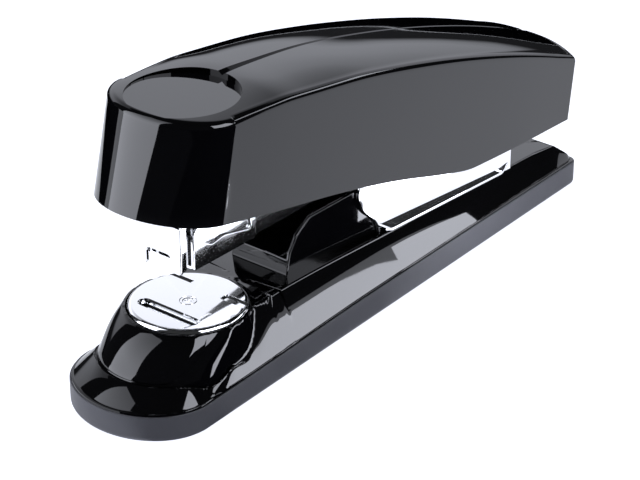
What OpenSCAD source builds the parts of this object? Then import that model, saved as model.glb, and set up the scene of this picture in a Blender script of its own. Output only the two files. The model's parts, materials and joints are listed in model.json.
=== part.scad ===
// Full-strip desk stapler with a flat-clinch anvil.
// +X runs to the rear, +Z up. The origin is under the middle of the base, on the table.

/* [Base] */
// Overall length of the base
base_l = 189; // [180:1:200]
// Width of the base at the nose
base_w = 40.8; // [40:0.2:43]
// Width of the base at the rear end
rear_w = 26; // [25.5:0.5:30]
// Height of the dark sole
sole_h = 7.9; // [7:0.1:8.5]
// How far the rubber pads stand out below the sole
pad_h = 0.6; // [0.4:0.1:1]
// Height of the top face just behind the anvil
plateau_front_z = 22.4; // [22:0.1:22.6]
// Height of the top face near the rear end
plateau_rear_z = 15; // [14.5:0.25:16]
// Wall thickness of the moulded covers
wall = 2.2; // [1.8:0.1:2.6]

/* [Anvil] */
// Distance from the nose tip to the centre of the anvil
nose_reach = 33.6; // [33:0.2:35]
// Diameter of the anvil disc
disc_d = 31; // [30:0.5:32]
// Height of the disc's top face
disc_z = 23.2; // [23:0.1:23.4]
// Thickness of the disc
disc_t = 1.2; // [1:0.1:1.4]
// Travel of the anvil when a staple is clinched flat
anvil_travel = 2; // [1.5:0.1:2.2]
// Length of the clinch slot
slot_l = 18.6; // [17:0.2:20]
// Width of the clinch slot
slot_w = 2.8; // [2.4:0.1:3.2]

/* [Magazine] */
// Height of the magazine's underside above the table
mag_z = 36.6; // [36:0.1:37]
// Height of the magazine channel
mag_h = 11.7; // [11:0.1:12]
// Half of the width over the channel
mag_half = 7.35; // [7.3:0.05:7.4]
// Sheet thickness of the channel
sheet_t = 0.8; // [0.7:0.05:0.85]

/* [Pivot] */
// Distance from the anvil centre to the pivot
pivot_reach = 117; // [116:0.5:118]
// Height of the pivot above the table
pivot_z = 42.4; // [42:0.1:42.8]
// Radius of the pivot pin
pin_r = 2.5; // [2.4:0.05:2.6]
// Radial running clearance on the pivot pin
pin_gap = 0.05; // [0.03:0.01:0.08]

/* [Handle] */
// Half of the width of the handle
handle_half = 20.6; // [20.2:0.1:21]
// Height of the handle's crest just behind the thumb recess
handle_z = 80.8; // [80:0.2:82]
// Thickness of the lever's sheet
lever_t = 0.8; // [0.7:0.05:0.9]

/* [Hidden] */
$fn = 48;
eps = 0.02;
// A hull's own children, and the plain curves of the moulded covers
cover_fn = 32;

anvil_x = -base_l / 2 + nose_reach;
pivot_x = anvil_x + pivot_reach;
disc_r = disc_d / 2;
rear_x = base_l / 2;
mag_top = mag_z + mag_h;

// Nose outline: half of an ellipse, then straight sides that narrow to the rear
nose_a = 17.4;
nose_x = -base_l / 2 + nose_a;
rear_corner_r = 3;
nose_steps = 28;

// Plateau
plateau_half = [14.6, 13.5, 9.5];
plateau_x = [anvil_x - 8, anvil_x + 55, anvil_x + 147];
plateau_z = [plateau_front_z, plateau_front_z - 1.1, plateau_rear_z];
plateau_edge_r = 1.2;
ledge_h = 4.6;
ledge_inset = 6.2;
cover_inset = 0.5;

// Tower under the anvil and its crescent cap
tower_foot_x = -8;
tower_foot_z = 12.4;
tower_foot_r = 17.5;
tower_top_r = 16.4;
cap_proud = 0.15;
cap_gap = 0.1;
cap_wall = 0.25;
cap_tip_x = -9.6;
cap_lean = 40;

// Disc seat
seat_gap = 0.35;
seat_r = disc_r + seat_gap;
seat_floor = disc_z - disc_t - anvil_travel - 1.5;

// Anvil works
carrier_r = 14;
post_r = 4;
slot_x = -7.4;
groove_x = 7.2;
groove_w = 2.2;
groove_depth = 0.5;
groove_in = 5.6;
rivet_r = 2.2;

// Sole and plate
sole_floor = 1.8;
sole_wall = 2;
plate_t = 2;
plate_z = 7.2;
plate_half = 9;
plate_front = anvil_x + 22;
plate_rear = anvil_x + 146;
screw_spots = [[anvil_x + 26, 12.6], [anvil_x + 26, -12.6], [anvil_x + 138, 5], [anvil_x + 138, -5]];
screw_r = 1.5;
screw_head_r = 2.8;
boss_r = 3;
pad_spots = [anvil_x - 14, anvil_x + 46, anvil_x + 96, anvil_x + 124];
pad_half = [11, 10, 8, 7];
pad_l = 14;
pad_depth = 0.9;

// Well, bracket and the layers between them, as half widths
well_in = 8.3;
well_out = 9.4;
well_front = anvil_x + 27;
well_rear = anvil_x + 78;
well_z = 35.4;
well_depth = 9.2;
lever_in = 8.35;
bracket_in = 9.5;
bracket_t = 1;
bracket_out = bracket_in + bracket_t;
bracket_rear = anvil_x + 124.4;
bracket_screw_x = [anvil_x + 90, anvil_x + 104];
pin_half = 12.4;
ring_t = 0.8;
ring_r = 4.2;

// Magazine
guide_t = 0.65;
guide_half = mag_half + guide_t;
mag_front = anvil_x - 5.6;
mag_rear = pivot_x + 5.6;
head_x = anvil_x - 10.2;
head_t = 0.8;
head_half = 7.4;
head_top = 50.4;
guide_rear = anvil_x + 17;
rail_half = 5.3;
rail_top = mag_z + 8.6;
rail_wall = 0.9;
rail_rear = anvil_x + 99;
rail_slot = 4.6;
rod_r = 1.2;
rod_z = mag_z + 4.8;
holder_x = rail_rear + 0.2;
pusher_l = 14;
pusher_x = anvil_x - 4.4;
pusher_top = mag_z + 10.6;

// Handle stations: distance behind the anvil, crest below handle_z, crown across the top, half width
stations = [[0, -0.5, 1, 19.7], [14, 0, 2.4, 20], [34, -1.6, 3.4, 20.3], [55, -4.7, 3.8, 20.6],
            [80, -10.5, 3.9, 20.6], [108, -18.6, 3.9, 20.6], [126, -24.7, 3.9, 20.4], [141, -30.4, 3.9, 20]];
nose_low = [-22.6, 16, 19];
nose_top = [-15, 12.5, 19.4];
nose_crest = -1.2;
handle_rear = anvil_x + 141;
rear_bulge = 4.5;
rear_slant = 3.2;
side_draft = 0.5;
lower_edge = [[-22.6, 56.2], [35, 46.1], [57.5, 40.8], [90, 32], [137.8, 29.3]];
thumb_r = 14.3;
thumb_z = handle_z - 1.2;
thumb_tilt = 2.5;
driver_t = 0.8;
driver_x = anvil_x - 8.7;
// The driver leans back, so that half way down it stands square
driver_lean = 0.8;
driver_bottom = mag_z + 10.4;
driver_top = 65.6;
driver_half = 6.3;
lever_out = lever_in + lever_t;
lever_web_z = 66.4;
handle_screw_spots = [[anvil_x + 12, 0, lever_web_z], [anvil_x + 70, 0, 61.6]];

// ---------- shared shapes ----------

// Plan outline of the base, moved inwards by g
function outline(g) = concat(
    [for (i = [0 : nose_steps]) let (t = 90 + 180 * i / nose_steps)
        [nose_x + (nose_a - g) * cos(t), (base_w / 2 - g) * sin(t)]],
    [for (i = [0 : 4]) let (t = -90 + 90 * i / 4)
        [rear_x - rear_corner_r - g + rear_corner_r * cos(t),
         -(rear_w / 2 - g) + rear_corner_r + rear_corner_r * sin(t)]],
    [for (i = [0 : 4]) let (t = 90 * i / 4)
        [rear_x - rear_corner_r - g + rear_corner_r * cos(t),
         rear_w / 2 - g - rear_corner_r + rear_corner_r * sin(t)]]);

// Plate of the base outline, cut off in front of or behind an X position
module outline_plate(g, z, x_from, x_to) {
    translate([0, 0, z])
        linear_extrude(0.1)
            intersection() {
                polygon(outline(g));
                translate([x_from, -base_w])
                    square([x_to - x_from, 2 * base_w]);
            }
}

// Round bar along Y, both ends at plus and minus half
module cross_bar(x, z, r, half) {
    translate([x, half, z])
        rotate([90, 0, 0])
            cylinder(r = r, h = 2 * half);
}

// Two mirrored copies, on +Y and -Y
module both_sides() {
    children();
    mirror([0, 1, 0])
        children();
}

// Sheet standing along X with its outline in X and Z, between two Y values
module side_sheet(points, y_from, y_to) {
    translate([0, y_to, 0])
        rotate([90, 0, 0])
            linear_extrude(y_to - y_from)
                polygon(points);
}

// Helical coil along +Z with closed end rings
module coil(r, wire_r, h, turns) {
    sides = 6;
    per_turn = 12;
    n = turns * per_turn;
    rise = h - 2 * wire_r;
    pts = [for (i = [0 : n]) let (a = 360 * i / per_turn, z = wire_r + rise * i / n)
        for (k = [0 : sides - 1]) let (b = 360 * k / sides)
            [(r + wire_r * cos(b)) * cos(a), (r + wire_r * cos(b)) * sin(a), z + wire_r * sin(b)]];
    skin = [for (i = [0 : n - 1]) for (k = [0 : sides - 1])
        let (k2 = (k + 1) % sides)
            [i * sides + k, (i + 1) * sides + k, (i + 1) * sides + k2, i * sides + k2]];
    first_cap = [[for (k = [0 : sides - 1]) k]];
    last_cap = [[for (k = [0 : sides - 1]) n * sides + sides - 1 - k]];
    polyhedron(points = pts, faces = concat(skin, first_cap, last_cap), convexity = 10);
}

// ---------- base ----------

module base_sole() {
    color([0.27, 0.28, 0.31])
        difference() {
            translate([0, 0, pad_h])
                linear_extrude(sole_h - pad_h)
                    polygon(outline(0));
            translate([0, 0, pad_h + sole_floor])
                linear_extrude(sole_h)
                    polygon(outline(sole_wall));
            for (i = [0 : len(pad_spots) - 1])
                pad_block(i, 0.1);
            for (s = screw_spots)
                translate([s[0], s[1], -1])
                    cylinder(r = screw_head_r + 0.3, h = sole_h);
        }
}

module pad_block(i, gap) {
    translate([pad_spots[i] - pad_l / 2 - gap, -pad_half[i] - gap, 0])
        cube([pad_l + 2 * gap, 2 * (pad_half[i] + gap), pad_h + pad_depth]);
}

module grip_pads() {
    color([0.12, 0.12, 0.13])
        for (i = [0 : len(pad_spots) - 1])
            pad_block(i, 0);
}

// Round tower under the anvil, leaning back from its foot to the seat, moved inwards by g
module tower_form(g) {
    hull() {
        translate([anvil_x + tower_foot_x, 0, tower_foot_z])
            cylinder(r = tower_foot_r - g, h = 0.1, $fn = 2 * cover_fn);
        translate([anvil_x, 0, plateau_front_z - 0.1 - g])
            cylinder(r = tower_top_r - g, h = 0.1, $fn = 2 * cover_fn);
    }
}

// Moulded body of the base, moved inwards by g
module base_form(g) {
    hull() {
        outline_plate(cover_inset + g, sole_h, -base_l, anvil_x + 30);
        outline_plate(ledge_inset + g, sole_h + ledge_h - g, -base_l, anvil_x - 2);
    }
    tower_form(g);
    hull() {
        outline_plate(cover_inset + g, sole_h, anvil_x - 8, base_l);
        for (s = [-1, 1])
            for (i = [0 : 2])
                    translate([plateau_x[i] + (1 - i) * (plateau_edge_r + g),
                               s * (plateau_half[i] - plateau_edge_r - g), plateau_z[i] - plateau_edge_r - g])
                    sphere(r = plateau_edge_r, $fn = cover_fn / 2);
    }
}

module base_cover() {
    color([0.02, 0.02, 0.025])
        difference() {
            base_form(0);
            difference() {
                base_form(wall);
                for (s = screw_spots)
                    translate([s[0], s[1], 0])
                        cylinder(r = boss_r, h = plateau_front_z);
                translate([anvil_x, 0, 0])
                    cylinder(r = seat_r + wall, h = plateau_front_z);
            }
            translate([0, 0, sole_h - wall])
                linear_extrude(wall)
                    polygon(outline(0));
            translate([anvil_x, 0, seat_floor])
                cylinder(r = seat_r, h = 20);
            translate([anvil_x, 0, 0])
                cylinder(r = seat_r - wall, h = 20);
            nose_cap_form(cap_gap);
            for (s = screw_spots)
                translate([s[0], s[1], 0])
                    cylinder(r = screw_r, h = plateau_rear_z - wall);
        }
}

// Crescent at the top front of the tower, above a plane that rises from its foot to the two tips
module nose_cap_form(gap) {
    difference() {
        tower_form(-cap_proud - gap);
        translate([anvil_x + cap_tip_x + gap, -base_w, plateau_front_z - gap])
            rotate([0, cap_lean, 0])
                translate([0, 0, -2 * plateau_front_z])
                    cube([base_w, 2 * base_w, 4 * plateau_front_z]);
        translate([anvil_x, 0, seat_floor - 4])
            cylinder(r = seat_r + cap_wall - gap, h = 20);
    }
}

module nose_cap() {
    color([0.02, 0.02, 0.025])
        nose_cap_form(0);
}

module base_plate() {
    color([0.6, 0.61, 0.63])
        difference() {
            translate([plate_front, -plate_half, plate_z])
                cube([plate_rear - plate_front, 2 * plate_half, plate_t]);
            for (x = bracket_screw_x)
                translate([x, 0, plate_z - 1])
                    cylinder(r = screw_r, h = plate_t + 2);
            for (s = screw_spots)
                translate([s[0], s[1], plate_z - 1])
                    cylinder(r = boss_r + 0.3, h = plate_t + 2);
        }
}

module base_screws() {
    color([0.55, 0.56, 0.58])
        for (s = screw_spots)
            translate([s[0], s[1], 0])
                difference() {
                    union() {
                        translate([0, 0, pad_h + 4])
                            cylinder(r = screw_r, h = plateau_rear_z - wall - pad_h - 4.4);
                        translate([0, 0, pad_h + 4])
                            cylinder(r = screw_head_r, h = 1.8);
                    }
                    translate([0, 0, pad_h + 3.9])
                        cylinder(r = 1.2, h = 1, $fn = 6);
                }
}

module clincher_bar() {
    bar_half = slot_l / 2 - 0.6;
    color([0.62, 0.63, 0.65])
        translate([anvil_x + slot_x, 0, 0]) {
            translate([-slot_w / 2 + 0.4, -bar_half, sole_floor + pad_h])
                cube([slot_w - 0.8, 2 * bar_half, disc_z - disc_t - 0.6 - sole_floor - pad_h]);
            translate([-3, -bar_half, sole_floor + pad_h])
                cube([4.6, 2 * bar_half, 1.5]);
        }
}

module magazine_well() {
    ramp = 9;
    floor_z = plateau_front_z - 0.6;
    color([0.02, 0.02, 0.025])
        difference() {
            side_sheet([[well_front, floor_z - 3], [well_rear, floor_z - 3], [well_rear, well_z],
                        [well_front + ramp, well_z], [well_front + ramp / 2.4, well_z - 5],
                        [well_front, floor_z + 1]], -well_out, well_out);
            side_sheet([[well_front - 1, well_z - well_depth], [well_rear + 1, well_z - well_depth],
                        [well_rear + 1, well_z + 1], [well_front - 1, well_z + 1]], -well_in, well_in);
            base_form(0);
        }
}

// Outline of one side plate of the bracket
function bracket_outline() = [
    [anvil_x + 64.2, plateau_at(anvil_x + 64.2)], [anvil_x + 63.6, 22], [anvil_x + 61.6, 25],
    [anvil_x + 58, 28], [anvil_x + 56, 30.6], [anvil_x + 55.4, 34.2], [anvil_x + 56.6, 38.6],
    [anvil_x + 61, 43.6], [pivot_x - 8, 48.4], [pivot_x + 3, 48.4], [pivot_x + 6, 46.6],
    [bracket_rear, 41], [bracket_rear, plateau_at(bracket_rear)]];

// Height of the plateau's top face at an X position
function plateau_at(x) = lookup(x, [for (i = [0 : 2]) [plateau_x[i], plateau_z[i] + eps]]);

module hinge_bracket() {
    floor_front = anvil_x + 80;
    color([0.85, 0.86, 0.88])
        difference() {
            union() {
                both_sides()
                    side_sheet(bracket_outline(), bracket_in, bracket_out);
                side_sheet([[floor_front, plateau_at(floor_front)], [bracket_rear, plateau_at(bracket_rear)],
                            [bracket_rear, plateau_at(bracket_rear) + bracket_t],
                            [floor_front, plateau_at(floor_front) + bracket_t]], -bracket_in, bracket_in);
            }
            cross_bar(pivot_x, pivot_z, pin_r, 20);
            for (x = bracket_screw_x)
                translate([x, 0, 10])
                    cylinder(r = screw_r, h = 20);
        }
}

module bracket_screws() {
    color([0.55, 0.56, 0.58])
        for (x = bracket_screw_x)
            translate([x, 0, plateau_at(x) + bracket_t + 0.3])
                difference() {
                    union() {
                        cylinder(r = screw_head_r, h = 1.4);
                        translate([0, 0, -1])
                            cylinder(r = screw_r - 0.1, h = 1.1);
                    }
                    translate([0, 0, 0.7])
                        cylinder(r = 1.2, h = 1, $fn = 6);
                }
}

module pivot_pin() {
    color([0.7, 0.71, 0.73])
        cross_bar(pivot_x, pivot_z, pin_r, pin_half);
}

module pin_rings() {
    color([0.6, 0.61, 0.63])
        both_sides()
            translate([pivot_x, bracket_out + ring_t, pivot_z])
                rotate([90, 0, 0])
                    difference() {
                        cylinder(r = ring_r, h = ring_t);
                        translate([0, 0, -1])
                            cylinder(r = pin_r, h = ring_t + 2);
                    }
}

module return_spring() {
    spring_x = anvil_x + 70;
    bottom = well_z - well_depth + 0.05;
    color([0.7, 0.71, 0.73])
        translate([spring_x, 0, bottom])
            coil(4.2, 0.45, mag_z - bottom - 0.05, 5);
}

// ---------- anvil ----------

module anvil_carrier() {
    top = disc_z - disc_t - 0.02;
    color([0.3, 0.31, 0.33])
        translate([anvil_x, 0, 0])
            difference() {
                union() {
                    translate([0, 0, top - 1.2])
                        cylinder(r = carrier_r, h = 1.2);
                    translate([0, 0, sole_floor + pad_h + anvil_travel + 0.4])
                        cylinder(r = post_r, h = top - sole_floor - pad_h - anvil_travel - 0.6);
                }
                translate([slot_x - slot_w / 2, -slot_l / 2, 0])
                    cube([slot_w, slot_l, 30]);
                translate([0, 0, top - 4])
                    cylinder(r = 1.2, h = 5);
            }
}

module anvil_spring() {
    spring_z = sole_floor + pad_h + 0.1;
    top = disc_z - disc_t - 1.4;
    color([0.7, 0.71, 0.73])
        translate([anvil_x, 0, spring_z])
            coil(post_r + 0.7, 0.4, top - spring_z, 7);
}

module anvil_disc() {
    color([0.85, 0.86, 0.88])
        translate([anvil_x, 0, 0])
            difference() {
                union() {
                    translate([0, 0, disc_z - disc_t])
                        cylinder(r = disc_r - 0.4, h = disc_t);
                    translate([0, 0, disc_z - disc_t - 0.6])
                        difference() {
                            cylinder(r = disc_r, h = disc_t + 0.2);
                            translate([0, 0, -1])
                                cylinder(r = disc_r - 1, h = 3);
                        }
                }
                translate([slot_x, 0, disc_z - 3])
                    linear_extrude(5)
                        square([slot_w, slot_l - slot_w], center = true);
                both_sides()
                    translate([slot_x, slot_l / 2 - slot_w / 2, disc_z - 3])
                        cylinder(r = slot_w / 2, h = 5);
                both_sides()
                    translate([groove_x - groove_w / 2, groove_in, disc_z - groove_depth])
                        cube([groove_w, disc_r, 5]);
                translate([0, 0, disc_z - 0.5])
                    cylinder(r = rivet_r + 0.05, h = 5);
                cylinder(r = 1.2, h = 40);
            }
}

module anvil_rivet() {
    color([0.8, 0.81, 0.83])
        translate([anvil_x, 0, 0]) {
            translate([0, 0, disc_z - 0.48])
                cylinder(r = rivet_r, h = 0.5);
            translate([0, 0, disc_z - disc_t - 3])
                cylinder(r = 1.15, h = disc_t + 2.6);
        }
}

// ---------- magazine ----------

module magazine_channel() {
    color([0.85, 0.86, 0.88])
        difference() {
            side_sheet([[mag_front, mag_z], [mag_rear, mag_z], [mag_rear, mag_top], [mag_front, mag_top]],
                       -mag_half, mag_half);
            side_sheet([[mag_front - 1, mag_z + sheet_t], [mag_rear + 1, mag_z + sheet_t],
                        [mag_rear + 1, mag_top + 1], [mag_front - 1, mag_top + 1]],
                       -mag_half + sheet_t, mag_half - sheet_t);
            cross_bar(pivot_x, pivot_z, pin_r + pin_gap, 20);
        }
}

module staple_rail() {
    low = mag_z + sheet_t;
    color([0.75, 0.76, 0.78])
        difference() {
            translate([mag_front + 0.2, -rail_half, low])
                cube([rail_rear - mag_front, 2 * rail_half, rail_top - low]);
            translate([mag_front - 1, -rail_half + rail_wall, low - 1])
                cube([rail_rear - mag_front + 3, 2 * (rail_half - rail_wall), rail_top - low + 1 - rail_wall]);
            translate([mag_front + 1.6, -rail_slot / 2, low])
                cube([rail_rear - mag_front - 4.2, rail_slot, rail_top]);
        }
}

module front_guide() {
    leg_z = mag_z + 0.2;
    leg_w = 3.5;
    notch_z = leg_z + 4.6;
    window_x = [anvil_x - 3, anvil_x + 15];
    color([0.85, 0.86, 0.88]) {
        difference() {
            union() {
                translate([head_x, -head_half, leg_z])
                    cube([head_t, 2 * head_half, head_top - leg_z]);
                both_sides()
                    translate([head_x, head_half - guide_t, leg_z + 0.6])
                        cube([2.1, guide_t, head_top - leg_z - 0.6]);
            }
            translate([head_x - 1, -head_half + leg_w, leg_z - 1])
                cube([head_t + 2, 2 * (head_half - leg_w), notch_z - leg_z + 1]);
        }
        both_sides()
            difference() {
                side_sheet([[anvil_x - 6, leg_z], [guide_rear, leg_z], [guide_rear, mag_top],
                            [anvil_x - 4.6, mag_top], [anvil_x - 6, mag_top - 1.4]],
                           mag_half, guide_half);
                translate([window_x[0], 0, mag_z + 4.6])
                    cube([window_x[1] - window_x[0], 20, 2.2]);
            }
        difference() {
            translate([head_x, -guide_half, head_top - 1])
                cube([guide_rear - head_x - 12, 2 * guide_half, 1]);
            translate([head_x + head_t, -driver_half - 0.3, head_top - 2])
                cube([3.6, 2 * driver_half + 0.6, 3]);
        }
        both_sides()
            translate([anvil_x - 4.6, mag_half, mag_top - 0.5])
                cube([7, guide_t, head_top - mag_top]);
    }
}

module magazine_rivets() {
    rivet_x = [anvil_x + 18, anvil_x + 60, anvil_x + 96];
    color([0.7, 0.71, 0.73])
        for (x = rivet_x)
            translate([x, 0, mag_z - 0.5])
                cylinder(r = 1.6, h = 0.5);
}

module rod_holder() {
    low = mag_z + sheet_t;
    holder_half = mag_half - sheet_t - 0.05;
    color([0.6, 0.61, 0.63])
        difference() {
            translate([holder_x, -holder_half, low])
                cube([3, 2 * holder_half, rail_top - low]);
            translate([holder_x - 1, 0, rod_z])
                rotate([0, 90, 0])
                    cylinder(r = rod_r, h = 6);
        }
}

module pusher_rod() {
    color([0.7, 0.71, 0.73])
        translate([mag_front + 0.4, 0, rod_z])
            rotate([0, 90, 0])
                cylinder(r = rod_r, h = holder_x + 4 - mag_front);
}

module pusher() {
    slide_gap = 0.15;
    saddle_half = mag_half - sheet_t - slide_gap;
    low = mag_z + sheet_t + slide_gap;
    color([0.16, 0.16, 0.18])
        difference() {
            translate([pusher_x, -saddle_half, low])
                cube([pusher_l, 2 * saddle_half, pusher_top - low]);
            difference() {
                translate([pusher_x - 1, -rail_half - slide_gap, low - 1])
                    cube([pusher_l + 2, 2 * (rail_half + slide_gap), rail_top + slide_gap - low + 1]);
                translate([pusher_x + 1, -rail_slot / 2 + slide_gap, rod_z - 2.4])
                    cube([pusher_l - 2, rail_slot - 2 * slide_gap, 10]);
            }
            translate([pusher_x - 1, 0, rod_z])
                rotate([0, 90, 0])
                    cylinder(r = rod_r + 0.05, h = pusher_l + 2);
        }
}

module pusher_spring() {
    start = pusher_x + pusher_l - 0.9;
    color([0.7, 0.71, 0.73])
        translate([start, 0, rod_z])
            rotate([0, 90, 0])
                coil(2.1, 0.35, holder_x - start - 0.05, 26);
}

// ---------- handle ----------

// Height of the handle's lower edge at an X position
function lower_z(x) = lookup(x - anvil_x, lower_edge);

// Cross-section of the handle, crowned on top, from the height low up to the crest
module handle_slice(x, half, low, top, crown) {
    arc_steps = 12;
    top_half = half - side_draft;
    translate([x, 0, 0])
        rotate([90, 0, 90])
            linear_extrude(0.05)
                polygon(concat(
                    [[half, low]],
                    [for (i = [0 : arc_steps]) let (u = 1 - 2 * i / arc_steps)
                        [u * top_half, top - crown * pow(abs(u), 3.5)]],
                    [[-half, low]]));
}

// Half an ellipse in plan, facing the front: tip, length and half width as e, moved inwards by g
module nose_disc(e, z, g) {
    steps = 20;
    translate([anvil_x + e[0] + e[1], 0, z])
        linear_extrude(0.05)
            polygon([for (i = [0 : steps]) let (t = 90 + 180 * i / steps)
                [(e[1] - g) * cos(t), (e[2] - g) * sin(t)]]);
}

module handle_form(g) {
    rear_low = lower_edge[4][1];
    last = stations[len(stations) - 1];
    front_z = handle_z + nose_crest;
    hull() {
        nose_disc(nose_low, lower_edge[1][1], g);
        nose_disc(nose_low, lower_z(anvil_x + nose_low[0]) + 1, g);
        nose_disc(nose_top, front_z - 1.6 - g, g);
        nose_disc([nose_top[0] + 1.4, nose_top[1] - 1.4, nose_top[2] - 2], front_z - g, g);
        for (p = stations)
            handle_slice(anvil_x + p[0] - (p == last ? g : 0), p[3] - g, p == last ? rear_low + 16 : rear_low,
                         handle_z + p[1] - g, p[2]);
        handle_slice(handle_rear - rear_slant - g, last[3] - g, rear_low, rear_low + 16, 0);
        handle_slice(handle_rear + rear_bulge - g, last[3] / 3, rear_low + 16, handle_z + last[1] - 2, 0.6);
        handle_slice(handle_rear + rear_bulge - rear_slant - g, last[3] / 3, rear_low, rear_low + 16, 0);
    }
}

module handle_cover() {
    color([0.02, 0.02, 0.025])
        difference() {
            handle_form(0);
            difference() {
                handle_form(wall);
                for (s = handle_screw_spots)
                    translate(s)
                        cylinder(r = boss_r, h = 30);
            }
            side_sheet(concat([[anvil_x + nose_low[0] - 5, 0],
                               [anvil_x + nose_low[0] - 5, lower_edge[0][1] + 0.9]],
                              [for (p = lower_edge) [anvil_x + p[0], p[1]]],
                              [[handle_rear + 10, lower_edge[4][1] - 0.5], [handle_rear + 10, 0]]),
                       -handle_half - 5, handle_half + 5);
            translate([anvil_x, 0, thumb_z])
                rotate([0, thumb_tilt, 0])
                    cylinder(r = thumb_r, h = 10);
            for (s = handle_screw_spots)
                translate([s[0], s[1], s[2] - 1])
                    cylinder(r = screw_r, h = 7);
        }
}

// Side outline of the lever
function lever_outline() = [
    [anvil_x - 7.6, 56], [anvil_x - 7.6, lever_web_z], [anvil_x + 30, lever_web_z],
    [anvil_x + 76, 60.4], [anvil_x + 106, 53], [pivot_x + 5, 46.6], [pivot_x + 5.4, 40], [pivot_x + 3, 37.4],
    [pivot_x - 6, 37.4], [anvil_x + 66, 47], [anvil_x + 27, 54.5]];

// Outline of the lever's hollow, with the web left along the top
function lever_hollow() = [
    [anvil_x - 8, 40], [anvil_x - 8, lever_web_z - lever_t], [anvil_x + 30, lever_web_z - lever_t],
    [anvil_x + 76, 60.4 - lever_t], [anvil_x + 106, 53 - lever_t], [anvil_x + 107, 30], [pivot_x + 10, 30],
    [anvil_x + 60, 30]];

module lever_frame() {
    color([0.6, 0.61, 0.63])
        difference() {
            side_sheet(lever_outline(), -lever_out, lever_out);
            side_sheet(lever_hollow(), -lever_in, lever_in);
            translate([anvil_x + 105, -lever_in, 20])
                cube([40, 2 * lever_in, 40]);
            cross_bar(pivot_x, pivot_z, pin_r + pin_gap, 20);
            for (s = handle_screw_spots)
                translate([s[0], s[1], 50])
                    cylinder(r = screw_r, h = 30);
        }
}

module driver_blade() {
    flange = 10;
    top_x = driver_x + driver_lean;
    color([0.7, 0.71, 0.73])
        side_sheet([[driver_x, driver_bottom], [driver_x + driver_t, driver_bottom],
                    [top_x + driver_t, driver_top - driver_t], [top_x + flange, driver_top - driver_t],
                    [top_x + flange, driver_top], [top_x, driver_top]], -driver_half, driver_half);
}

module driver_rivets() {
    head_h = 0.9;
    color([0.7, 0.71, 0.73])
        both_sides()
            translate([anvil_x - 2.4, 3, driver_top - driver_t - head_h])
                cylinder(r = 1.4, h = head_h);
}

module handle_spring() {
    spring_x = anvil_x + 52;
    color([0.7, 0.71, 0.73])
        translate([spring_x, 0, mag_top + 0.1])
            coil(6.4, 0.5, 13.1, 6);
}

module handle_screws() {
    head_h = 1.4;
    head_gap = 0.8;
    color([0.55, 0.56, 0.58])
        for (s = handle_screw_spots)
            translate([s[0], s[1], s[2] - lever_t - head_h - head_gap])
                difference() {
                    union() {
                        cylinder(r = screw_head_r, h = head_h);
                        cylinder(r = screw_r - 0.05, h = 6);
                    }
                    translate([0, 0, -0.1])
                        cylinder(r = 1.2, h = 0.9, $fn = 6);
                }
}

base_sole();
grip_pads();
base_cover();
base_plate();
base_screws();
nose_cap();
magazine_well();
hinge_bracket();
bracket_screws();
pivot_pin();
pin_rings();
return_spring();
clincher_bar();
anvil_carrier();
anvil_spring();
anvil_disc();
anvil_rivet();
magazine_channel();
staple_rail();
front_guide();
magazine_rivets();
rod_holder();
pusher_rod();
pusher();
pusher_spring();
handle_cover();
lever_frame();
driver_blade();
driver_rivets();
handle_spring();
handle_screws();
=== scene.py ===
"""Looks of the desk stapler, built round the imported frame.

Shapes are in millimetres, with X and Y measured from the anvil's axis and Z from the table.
"""
import json
import math
import bisect
import bmesh
import bpy
from mathutils import Matrix, Vector


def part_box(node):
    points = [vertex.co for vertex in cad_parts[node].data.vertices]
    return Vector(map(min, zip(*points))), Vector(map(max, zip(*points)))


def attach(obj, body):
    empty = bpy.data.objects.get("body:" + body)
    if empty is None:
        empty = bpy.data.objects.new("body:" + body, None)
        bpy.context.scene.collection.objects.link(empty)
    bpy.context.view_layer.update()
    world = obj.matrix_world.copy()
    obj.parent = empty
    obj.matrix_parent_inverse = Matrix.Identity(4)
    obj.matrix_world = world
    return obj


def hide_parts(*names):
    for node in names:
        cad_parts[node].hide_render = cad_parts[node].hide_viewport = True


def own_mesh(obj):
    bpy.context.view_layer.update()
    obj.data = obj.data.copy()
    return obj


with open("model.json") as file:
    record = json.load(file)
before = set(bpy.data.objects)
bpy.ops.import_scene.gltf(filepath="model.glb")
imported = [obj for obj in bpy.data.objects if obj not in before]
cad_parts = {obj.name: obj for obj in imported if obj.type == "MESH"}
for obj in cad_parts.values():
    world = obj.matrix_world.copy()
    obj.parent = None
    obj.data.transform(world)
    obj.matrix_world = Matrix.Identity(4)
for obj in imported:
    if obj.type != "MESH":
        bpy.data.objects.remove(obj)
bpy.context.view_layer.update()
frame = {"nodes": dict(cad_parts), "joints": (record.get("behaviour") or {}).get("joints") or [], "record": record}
MM = 0.001

# ---------- places taken from the frame, in millimetres ----------


def box_mm(node):
    lo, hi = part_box(node)
    return [v / MM for v in lo], [v / MM for v in hi]


disc_lo, disc_hi = box_mm("anvil_disc")
AX = (disc_lo[0] + disc_hi[0]) / 2
DISC_R = (disc_hi[0] - disc_lo[0]) / 2
DISC_Z = disc_hi[2]
sole_lo, sole_hi = box_mm("base_sole")
SOLE_TOP = sole_hi[2]
BASE_FRONT = sole_lo[0] - AX
BASE_REAR = sole_hi[0] - AX
BASE_HALF = sole_hi[1]
_, cover_hi = box_mm("base_cover")
handle_lo, handle_hi = box_mm("handle_cover")
CREST_Z = handle_hi[2]
HANDLE_FRONT = handle_lo[0] - AX
HANDLE_HALF = handle_hi[1]
chan_lo, chan_hi = box_mm("magazine_channel")
guide_lo, guide_hi = box_mm("front_guide")
_, bracket_hi = box_mm("hinge_bracket")
well_lo, well_hi = box_mm("magazine_well")
pivot = next(j["pos_m"] for j in frame["joints"] if j["name"] == "magazine_swing")
PIVOT = (pivot[0] / MM - AX, pivot[2] / MM)


# ---------- small mathematics ----------


def lerp(a, b, t):
    return a + (b - a) * t


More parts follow.
